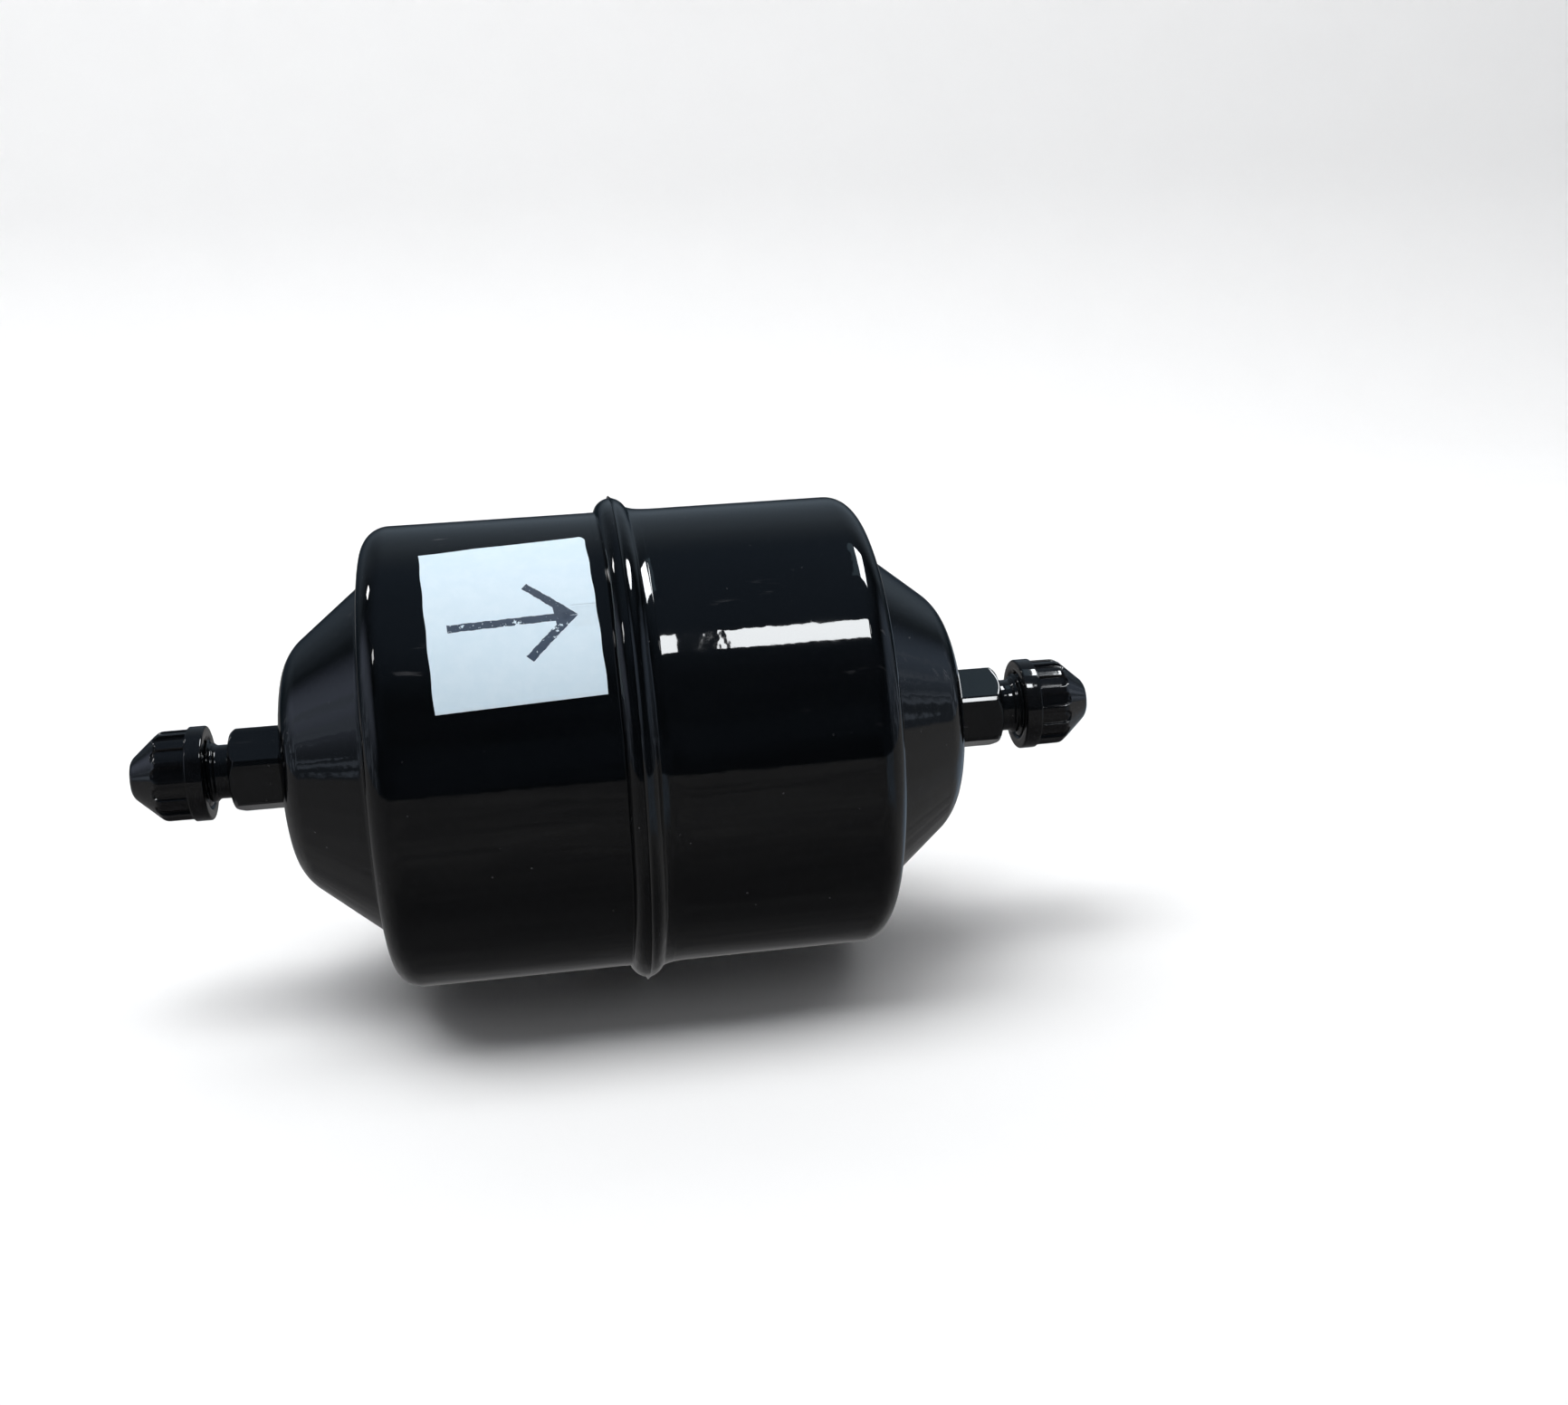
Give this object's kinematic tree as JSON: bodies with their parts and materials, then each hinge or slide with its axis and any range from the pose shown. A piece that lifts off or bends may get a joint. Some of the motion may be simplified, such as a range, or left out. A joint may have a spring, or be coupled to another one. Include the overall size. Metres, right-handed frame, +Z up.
{
  "type": "refrigerant filter drier",
  "caption": "Hermetic liquid-line filter drier with a black welded steel shell, a girth weld bead, hexagonal flare ends, ribbed screw caps and a flow arrow sticker.",
  "frame": {"origin": "on the flow axis, in the middle of the seam weld, which is the centre of the part", "axes": "+X along the flow from the inlet to the outlet, +Z up, the sticker on the -Y side above the middle"},
  "size_m": [0.16, 0.0804, 0.0804],
  "materials": {
    "shell_paint": "glossy black stoved enamel over deep-drawn steel",
    "fitting_paint": "the same black enamel over turned steel, a little thinner on the edges",
    "cap_plastic": "glossy black injection-moulded plastic",
    "seal_rubber": "matt black synthetic rubber",
    "label_paper": "white coated paper with a satin surface",
    "spring_steel": "drawn spring wire, lightly oiled",
    "zinc_steel": "zinc-plated pressed steel",
    "filter_fibre": "off-white felted fibre",
    "desiccant_block": "matt porous moulded block"
  },
  "bodies": {
    "housing": {"inlet_shell": "shell_paint", "outlet_shell": "shell_paint", "seam_weld": "shell_paint", "inlet_fitting": "fitting_paint", "outlet_fitting": "fitting_paint", "inlet_braze_ring": "fitting_paint", "outlet_braze_ring": "fitting_paint", "flow_label": "label_paper", "core_spring": "spring_steel", "outlet_pad": "filter_fibre", "outlet_screen": "zinc_steel", "outlet_plate": "zinc_steel"},
    "filter_pack": {"pressure_plate": "zinc_steel", "inlet_pad": "filter_fibre", "desiccant_core": "desiccant_block", "core_side_seal": "filter_fibre"},
    "inlet_cap_seal": {"inlet_cap_seal": "seal_rubber"},
    "inlet_cap": {"inlet_cap": "cap_plastic"},
    "outlet_cap_seal": {"outlet_cap_seal": "seal_rubber"},
    "outlet_cap": {"outlet_cap": "cap_plastic"}
  },
  "joints": [
    {"name": "pack_float", "type": "slide", "parent": "housing", "child": "filter_pack", "axis": [-1, 0, 0], "range_m": [0, 0.0015], "stiffness_N_per_m": 8000, "springref_m": -0.0075, "deforming": ["core_spring"]},
    {"name": "inlet_cap_lift", "type": "slide", "parent": "housing", "child": "inlet_cap_seal", "axis": [-1, 0, 0], "range_m": [0, 0.0127]},
    {"name": "inlet_cap_turn", "type": "hinge", "parent": "inlet_cap_seal", "child": "inlet_cap", "pos_m": [-0.0679, 0, 0], "axis": [-1, 0, 0], "range_deg": [0, 3600.1]},
    {"name": "outlet_cap_lift", "type": "slide", "parent": "housing", "child": "outlet_cap_seal", "axis": [1, 0, 0], "range_m": [0, 0.0127]},
    {"name": "outlet_cap_turn", "type": "hinge", "parent": "outlet_cap_seal", "child": "outlet_cap", "pos_m": [0.0679, 0, 0], "axis": [1, 0, 0], "range_deg": [0, 3600.1]}
  ],
  "couplings": [
    {"joint": "inlet_cap_turn", "follows": "inlet_cap_lift", "rad_per_m": 4947.4},
    {"joint": "outlet_cap_turn", "follows": "outlet_cap_lift", "rad_per_m": 4947.4}
  ]
}
